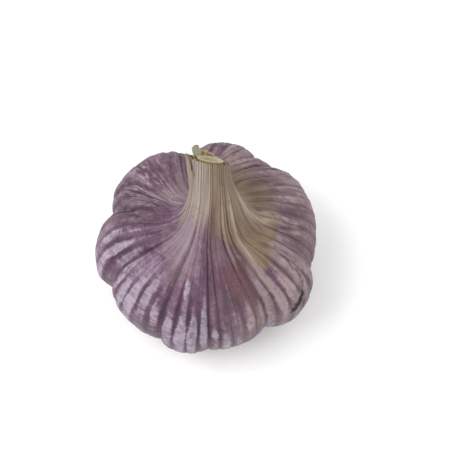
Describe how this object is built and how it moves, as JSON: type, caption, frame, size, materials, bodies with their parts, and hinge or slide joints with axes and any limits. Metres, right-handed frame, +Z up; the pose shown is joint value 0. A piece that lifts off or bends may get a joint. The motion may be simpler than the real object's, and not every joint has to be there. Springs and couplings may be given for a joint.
{
  "type": "garlic bulb",
  "caption": "Dried garlic bulb with clove lobes, ribbed papery skin, leaning neck cut to show sheath and stalk, and a trimmed root plate.",
  "frame": {"origin": "on the floor, under the middle of the bulb's outline seen from above", "axes": "+Z up through the bulb, the height as it stands; the neck leans back towards +Y; -Y is the front; +X is the bulb's right seen from the front"},
  "size_m": [0.063, 0.0612, 0.0585],
  "materials": {
    "skin": "dry papery skin, satin",
    "sheath": "dry, matte",
    "stalk": "cut, matte",
    "roots": "dry, matte"
  },
  "bodies": {
    "root": {"bulb": "skin", "inner_sheath": "sheath", "flower_stalk": "stalk", "root_plate": "roots"}
  },
  "joints": []
}
